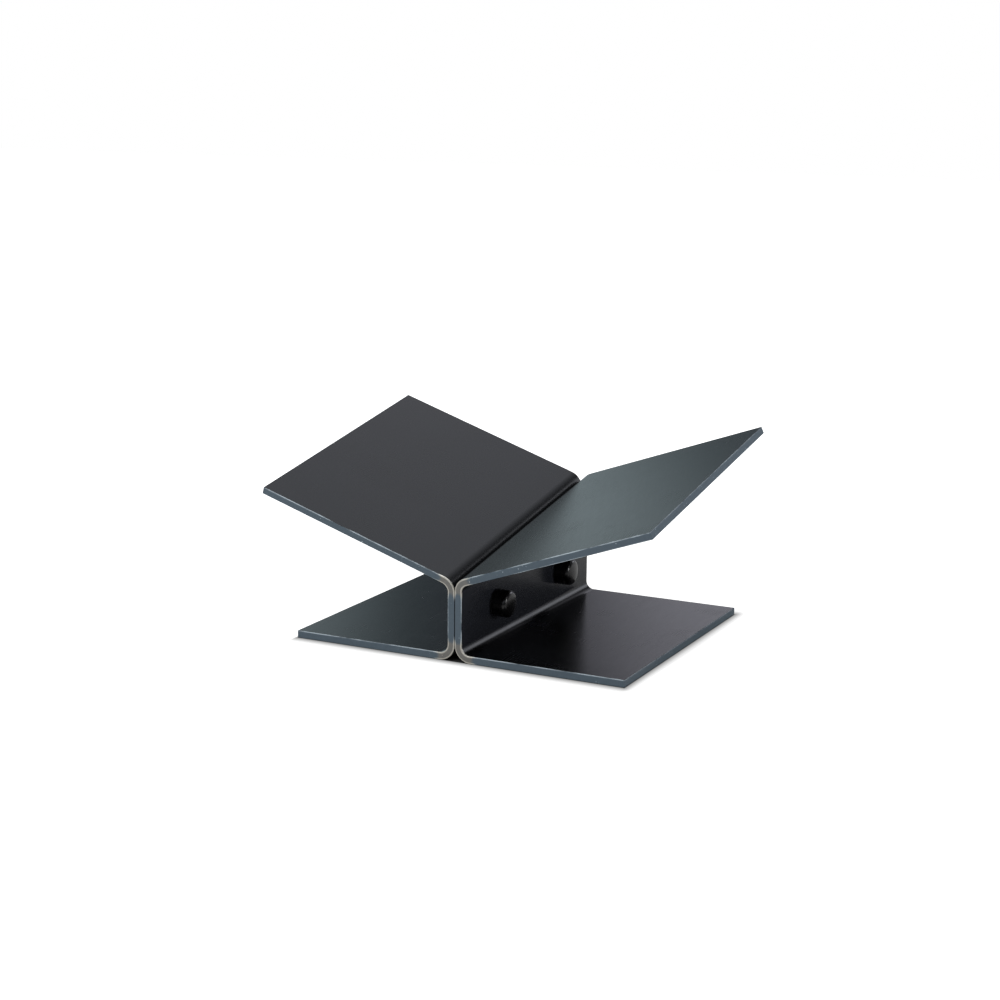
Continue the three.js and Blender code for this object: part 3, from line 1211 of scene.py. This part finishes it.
@dataclass
class ThumbScrew:
    """One clamp: head, stud and washer on the stand, and a nut that takes its washer along."""

    name: str
    knob_finish: bpy.types.Material
    stud_finish: bpy.types.Material
    washer_finish: bpy.types.Material
    thread: Thread = Thread(1.0 * MM, 2.46 * MM, 3.0 * MM)
    thread_clearance: float = 0.08 * MM
    engagement: float = 7.0 * MM
    spare_bore: float = 0.5 * MM
    mouth_chamfer: float = 0.4 * MM
    end_chamfer: float = 0.6 * MM
    edge_radius: float = 3.0 * MM
    crown_radius: float = 36.0 * MM
    base_chamfer: float = 0.4 * MM
    washer_bore: float = 3.3 * MM
    washer_edge: float = 0.15 * MM
    washer_play: float = 0.01 * MM
    rings_per_pitch: int = 12
    columns: int = 96
    edge_steps: int = 14
    crown_steps: int = 12

    def __post_init__(self) -> None:
        """Reads the screw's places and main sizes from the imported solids."""
        nut_low, nut_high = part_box(f"{self.name}_thumb_nut")
        stud_low, stud_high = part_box(f"{self.name}_stud")
        washer_low, washer_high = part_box(f"{self.name}_nut_washer")
        self.axis = (stud_low + stud_high) / 2
        self.half_stud = (stud_high.x - stud_low.x) / 2
        self.seat_at = nut_low.x
        self.knob_length = nut_high.x - nut_low.x
        self.knob_radius = (nut_high.z - nut_low.z) / 2
        self.washer_at = washer_low.x
        self.washer_thickness = washer_high.x - washer_low.x
        self.washer_radius = (washer_high.z - washer_low.z) / 2

    def _placed(
        self, name: str, bm: bmesh.types.BMesh, material: bpy.types.Material, x: float
    ) -> bpy.types.Object:
        """Makes an object whose origin lies on the screw's axis.

        Args:
            name: The piece's name.
            bm: Its mesh, which is freed.
            material: Its material.
            x: Where its origin lies along the axis.

        Returns:
            The object.
        """
        piece = made_object(name, bm, material)
        piece.location = (x, self.axis.y, self.axis.z)
        return piece

    def _knob_outside(self) -> List[Pair]:
        """Returns the rings of the knob's outside, from its base to the middle of its crown."""
        radius, edge = self.knob_radius, self.edge_radius
        slope = math.asin((radius - edge) / (self.crown_radius - edge))

        def on_crown(turn: float) -> Pair:
            """Finds a point of the crown.

            Args:
                turn: The crown's slope there.

            Returns:
                Its place along the axis and its radius.
            """
            along = self.knob_length - self.crown_radius * (1 - math.cos(turn))
            return along, self.crown_radius * math.sin(turn)

        edge_axis = on_crown(slope)[0] - edge * math.cos(slope)
        rings = [(0.0, radius - self.base_chamfer), (self.base_chamfer, radius)]
        for step in range(self.edge_steps + 1):
            turn = step / self.edge_steps * (math.pi / 2 - slope)
            rings.append((edge_axis + edge * math.sin(turn), radius - edge * (1 - math.cos(turn))))
        for step in range(1, self.crown_steps):
            rings.append(on_crown(slope * (1 - step / self.crown_steps)))
        return rings + [(self.knob_length, 0.0)]

    def _knob(self, direction: int) -> bmesh.types.BMesh:
        """Makes a knob with a blind tapped bore.

        Args:
            direction: 1 for a knob on the right of the web, -1 for one on the left.

        Returns:
            The mesh, with the knob's base at X = 0.
        """
        depth = self.engagement + self.spare_bore
        mouth = self.thread.crest_radius + self.thread_clearance + self.mouth_chamfer
        base = direction * self.seat_at

        def bore(x: float, turn: float) -> float:
            """Finds the tapped bore's radius, opened out at its mouth.

            Args:
                x: Place along the axis, from the knob's base.
                turn: Angle round it.

            Returns:
                The radius.
            """
            tapped = self.thread.radius(base + x, turn) + self.thread_clearance
            return max(tapped, mouth - abs(x))

        count = round(depth / self.thread.pitch * self.rings_per_pitch)
        rings = [(direction * depth, 0.0)]
        rings += [(direction * depth * (1 - step / count), bore) for step in range(count + 1)]
        rings += [(direction * along, radius) for along, radius in self._knob_outside()]
        return turned(rings, self.columns)

    def _stud(self) -> bmesh.types.BMesh:
        """Makes the threaded stud, with its middle at X = 0."""
        tip = self.thread.crest_radius - self.end_chamfer

        def threaded(x: float, turn: float) -> float:
            """Finds the thread's radius, drawn in at the chamfered ends.

            Args:
                x: Place along the axis, from the stud's middle.
                turn: Angle round it.

            Returns:
                The radius.
            """
            return min(self.thread.radius(x, turn), tip + self.half_stud - abs(x))

        count = round(2 * self.half_stud / self.thread.pitch * self.rings_per_pitch)
        rings = [(-self.half_stud, 0.0)]
        rings += [(self.half_stud * (2 * step / count - 1), threaded) for step in range(count + 1)]
        return turned(rings + [(self.half_stud, 0.0)], self.columns)

    def _washer(self) -> bmesh.types.BMesh:
        """Makes a washer with softened outer edges, whose space starts at X = 0.

        It leaves a hair of play on both sides, so that it doesn't share a face with the knob.
        """
        edge, outer = self.washer_edge, self.washer_radius
        low, high = self.washer_play, self.washer_thickness - self.washer_play
        rings = [(low, self.washer_bore), (low, outer - edge), (low + edge, outer)]
        rings += [(high - edge, outer), (high, outer - edge), (high, self.washer_bore)]
        return turned(rings, self.columns, is_ring=True)

    def build(self) -> None:
        """Builds the five pieces and seats each on its body."""
        name, knob, nylon = self.name, self.knob_finish, self.washer_finish
        nut = self._placed(f"{name}_knob_nut", self._knob(1), knob, self.seat_at)
        seat(nut, f"{name}_nut", f"{name}_thumb_nut")
        head = self._placed(f"{name}_knob_head", self._knob(-1), knob, -self.seat_at)
        seat(head, "stand", f"{name}_screw_head")
        stud = self._placed(f"{name}_threaded_stud", self._stud(), self.stud_finish, 0.0)
        seat(stud, "stand", f"{name}_stud")
        under_nut = self._placed(f"{name}_right_washer", self._washer(), nylon, self.washer_at)
        seat(under_nut, f"{name}_washer", f"{name}_nut_washer")
        under_head = self._placed(f"{name}_left_washer", self._washer(), nylon, -self.seat_at)
        seat(under_head, "stand", f"{name}_head_washer")


# ---- Studio ----


@dataclass(frozen=True)
class Lamp:
    """A square soft lamp that looks at the stand."""

    name: str
    place: Tuple[float, float, float]
    size: float
    watts: float

    def hang(self, target: Vector) -> None:
        """Adds the lamp, turned to what it lights.

        Args:
            target: The point that it looks at.
        """
        data = bpy.data.lights.new(self.name, "AREA")
        data.size = self.size
        data.energy = self.watts
        lamp = bpy.data.objects.new(self.name, data)
        lamp.location = self.place
        lamp.rotation_euler = (target - Vector(self.place)).to_track_quat("-Z", "Y").to_euler()
        lamp.visible_camera = False
        bpy.context.scene.collection.objects.link(lamp)


def background_rays(graph: Graph) -> Tuple[Signal, Signal]:
    """Tells which rays look at the background.

    Args:
        graph: The material's or the world's graph.

    Returns:
        1 for rays from the camera, and 1 for rays off or through glossy things.
    """
    path = graph.node("ShaderNodeLightPath", None, None, "Is Camera Ray")
    return path, path.out("Is Glossy Ray").most(path.out("Is Transmission Ray"))


@dataclass(frozen=True)
class Floor:
    """A pale floor with a painted contact shadow, darkest where the feet touch it, and white well
    away from them.
    """

    size: float = 12.0
    drop: float = 0.1 * MM
    colour: Colour = (0.80, 0.80, 0.80)
    # Painted shadow: a dark colour and a lowered glow paint the contact shadow round the feet.
    painted_shadow_colour: Colour = (0.04, 0.04, 0.04)
    lift: float = 0.86
    painted_shadow_lift: float = 0.26
    contact_reach: float = 14 * MM
    contact_spread: float = 1.3
    contact_squeeze: Pair = (1.5, 4.0)
    contact_line: float = 0.3 * MM
    mirror_lift: Colour = (0.50, 0.53, 0.60)
    mirror_bound: Pair = (-0.05, 0.15)
    mirror_lean: float = 0.4
    footprint: Pair = (122 * MM, 100 * MM)
    footprint_middle: float = 5.123 * MM
    white_from: Pair = (0.35, 0.90)

    def build(self) -> None:
        """Lays the floor, a hair under the stand."""
        bm = bmesh.new()
        bmesh.ops.create_grid(bm, x_segments=1, y_segments=1, size=self.size / 2)
        mesh = bpy.data.meshes.new("floor")
        bm.to_mesh(mesh)
        bm.free()
        mesh.materials.append(self._material())
        floor = bpy.data.objects.new("floor", mesh)
        floor.location.z = -self.drop
        bpy.context.scene.collection.objects.link(floor)

    def _from_feet(self, parts: Signal) -> Signal:
        """Measures how far a place on the floor is from the stand's footprint.

        Args:
            parts: The place.

        Returns:
            The distance, counted as longer at the stand's two sides.
        """
        right = (parts - self.footprint[0]).most(0.0)
        left = (-self.footprint[0] - parts).most(0.0)
        aside = right * self.contact_squeeze[0] + left * self.contact_squeeze[1]
        beyond = abs(parts.out("Y") - self.footprint_middle) - self.footprint[1]
        return (aside ** 2.0 + beyond.most(0.0) ** 2.0) ** 0.5

    def _material(self) -> bpy.types.Material:
        """Returns the floor's material."""
        material, graph = new_material("pale_floor")
        to_camera, in_mirrors = background_rays(graph)
        parts = graph.parts(graph.object_place())
        away = self._from_feet(parts)
        # Painted shadow: for camera rays, the floor's colour turns dark near the feet.
        open_floor = away.rise(0.0, self.contact_reach * self.contact_spread)
        open_floor = open_floor.most(1.0 - to_camera)
        shaded = graph.blend(open_floor, self.painted_shadow_colour, self.colour)
        lit = graph.node("ShaderNodeBsdfDiffuse", None, {"Color": shaded})

        # Painted shadow: the camera-ray glow is lowered near the feet and cut out along a thin
        # line round them.
        short = 1.0 - (away / self.contact_reach).least(1.0)
        lift = self.lift - short * short * (self.lift - self.painted_shadow_lift)
        lift = lift * away.rise(0.0, self.contact_line)
        far = away.rise(*self.white_from)
        behind = (parts - parts.out("Y") * self.mirror_lean).fall(*self.mirror_bound)
        seen = to_camera * (lift + far * (1.0 - self.lift))
        glow = graph.blend(seen, BLACK, WHITE)
        glow = graph.blend(in_mirrors * far * behind, glow, self.mirror_lift)
        raised = graph.node("ShaderNodeEmission", None, {"Color": glow, "Strength": 1.0})
        both = graph.node("ShaderNodeAddShader", None, {0: lit, 1: raised})
        graph.node("ShaderNodeOutputMaterial", None, {"Surface": both})
        return material


@dataclass(frozen=True)
class Surround:
    """What lies all round: white to look at, a soft sweep in mirrors, plain light otherwise."""

    light: float = 0.60
    shaded_right: float = 0.85
    shade_reach: float = 0.8
    back_from: Pair = (0.0, 0.15)
    sweep: Sequence[Stop] = (
        (0.00, (0.72, 0.87, 0.92)),
        (0.054, (0.62, 0.76, 0.81)),
        (0.102, (0.055, 0.080, 0.095)),
        (0.172, (0.05, 0.05, 0.07)),
        (0.215, (0.66, 0.66, 0.74)),
        (0.243, (0.92, 0.92, 1.05)),
        (0.271, (0.98, 0.98, 1.10)),
        (0.554, (0.36, 0.36, 0.40)),
        (0.690, (0.16, 0.16, 0.18)),
        (0.800, (0.08, 0.08, 0.09)),
    )
    sweep_span: Pair = (-0.70, 0.60)
    strip: Colour = (2.65, 2.72, 2.95)
    strip_left: Pair = (0.27, 0.36)
    strip_right: Pair = (0.62, 0.80)
    strip_foot: Pair = (-0.05, 0.24)
    strip_top: Pair = (0.38, 0.48)
    overhead: Colour = (1.30, 1.36, 1.48)
    overhead_from: Pair = (0.48, 0.88)
    front_low: Colour = (0.07, 0.075, 0.08)
    front_high: Colour = (1.00, 1.05, 1.14)
    front_rise: Pair = (0.08, 0.55)
    front_lean: float = 0.10

    def build(self) -> None:
        """Makes the surround and gives it to the scene."""
        world = bpy.data.worlds.new("surround")
        world.use_nodes = True
        graph = Graph(world.node_tree)
        to_camera, in_mirrors = background_rays(graph)
        parts = graph.parts(graph.node("ShaderNodeTexCoord"))
        slope = parts / parts.out("Y")
        around = self._around(graph, parts, slope)
        strip = self._strip(parts, slope, to_camera.out("Glossy Depth"))
        mirrored = graph.blend(strip, around, self.strip)
        shade = self.light * (1.0 - parts.rise(0.0, self.shade_reach) * self.shaded_right)
        plain = graph.node("ShaderNodeCombineXYZ", None, {0: shade, 1: shade, 2: shade})
        colour = graph.blend(to_camera, graph.blend(in_mirrors, plain, mirrored), WHITE)
        light = graph.node("ShaderNodeBackground", None, {"Color": colour, "Strength": 1.0})
        graph.node("ShaderNodeOutputWorld", None, {"Surface": light})
        bpy.context.scene.world = world

    def _around(self, graph: Graph, parts: Signal, slope: Signal) -> Signal:
        """Paints the sweep at the back, the front and what hangs overhead.

        Args:
            graph: The world's graph.
            parts: The direction of view.
            slope: How far that direction leans to the right of straight back.

        Returns:
            The colour.
        """
        low, high = self.sweep_span
        share = (slope - low) / (high - low)
        sweep = graph.node("ShaderNodeValToRGB", {"stops": self.sweep}, {"Fac": share})
        leaning = parts.out("Z") - abs(parts) * self.front_lean
        front = graph.blend(leaning.rise(*self.front_rise), self.front_low, self.front_high)
        around = graph.blend(parts.out("Y").rise(*self.back_from), front, sweep)
        return graph.blend(parts.out("Z").rise(*self.overhead_from), around, self.overhead)

    def _strip(self, parts: Signal, slope: Signal, depth: Signal) -> Signal:
        """Masks a strip light low behind the stand, which shows straight off a surface only.

        Args:
            parts: The direction of view.
            slope: How far that direction leans to the right of straight back.
            depth: How many surfaces the ray has come off.

        Returns:
            1 on the strip.
        """
        straight = 1.0 - (depth - 1.0).most(0.0).least(1.0)
        across = slope.rise(*self.strip_left) * slope.fall(*self.strip_right)
        strip = across * parts.out("Y").rise(*self.back_from) * straight
        height = parts.out("Z")
        return strip * height.rise(*self.strip_foot) * height.fall(*self.strip_top)


@dataclass(frozen=True)
class Viewpoint:
    """The camera, at the photograph's angle."""

    azimuth: float = math.radians(26.67)
    elevation: float = math.radians(12.12)
    roll: float = math.radians(0.48)
    distance: float = 1.4104
    target: Tuple[float, float, float] = (-0.01752, 0.005123, 0.08849)
    lens: float = 72.76

    def build(self) -> None:
        """Sets up the camera and gives it to the scene."""
        sine, cosine = math.sin(self.azimuth), math.cos(self.azimuth)
        level_share = math.cos(self.elevation)
        ahead = Vector((-sine * level_share, cosine * level_share, -math.sin(self.elevation)))
        level = Vector((cosine, sine, 0.0))
        above = level.cross(ahead)
        right = level * math.cos(self.roll) + above * math.sin(self.roll)
        up = above * math.cos(self.roll) - level * math.sin(self.roll)
        data = bpy.data.cameras.new("camera")
        data.lens = self.lens
        camera = bpy.data.objects.new("camera", data)
        turn = Matrix((right, up, -ahead)).transposed().to_4x4()
        place = Vector(self.target) - ahead * self.distance
        camera.matrix_world = Matrix.Translation(place) @ turn
        bpy.context.scene.collection.objects.link(camera)
        bpy.context.scene.camera = camera


@dataclass(frozen=True)
class Studio:
    """A pale floor, a surround, soft lamps and the camera."""

    floor: Floor = Floor()
    surround: Surround = Surround()
    viewpoint: Viewpoint = Viewpoint()
    lit_point: Tuple[float, float, float] = (0.0, 0.0, 0.05)
    lamps: Sequence[Lamp] = (
        Lamp("key", (-0.5, -1.1, 1.4), 1.0, 12.0),
        Lamp("top", (0.2, 0.3, 1.7), 1.2, 5.0),
        Lamp("side", (1.48, 0.0, 0.37), 0.26, 4.6),
    )

    def build(self) -> None:
        """Builds the whole studio."""
        self.floor.build()
        self.surround.build()
        for lamp in self.lamps:
            lamp.hang(Vector(self.lit_point))
        self.viewpoint.build()
        bpy.context.scene.view_settings.view_transform = "Standard"


def main() -> None:
    """Builds the plates, the thumb screws and the studio."""
    logging.basicConfig(level=logging.INFO, format="%(name)s: %(message)s")
    knob_black = GlossBlack().material()
    zinc = ZincSteel().material()
    nylon = MattNylon().material()
    screws = [ThumbScrew(name, knob_black, zinc, nylon) for name in ("front", "rear")]
    stud_places = [(screw.axis.y, screw.axis.z) for screw in screws]
    for side in Side:
        BentPlate(side, BlackenedSteel(), stud_places, screws[0].washer_bore).build()
    for screw in screws:
        screw.build()
    Studio().build()


if __name__ == "__main__":
    main()
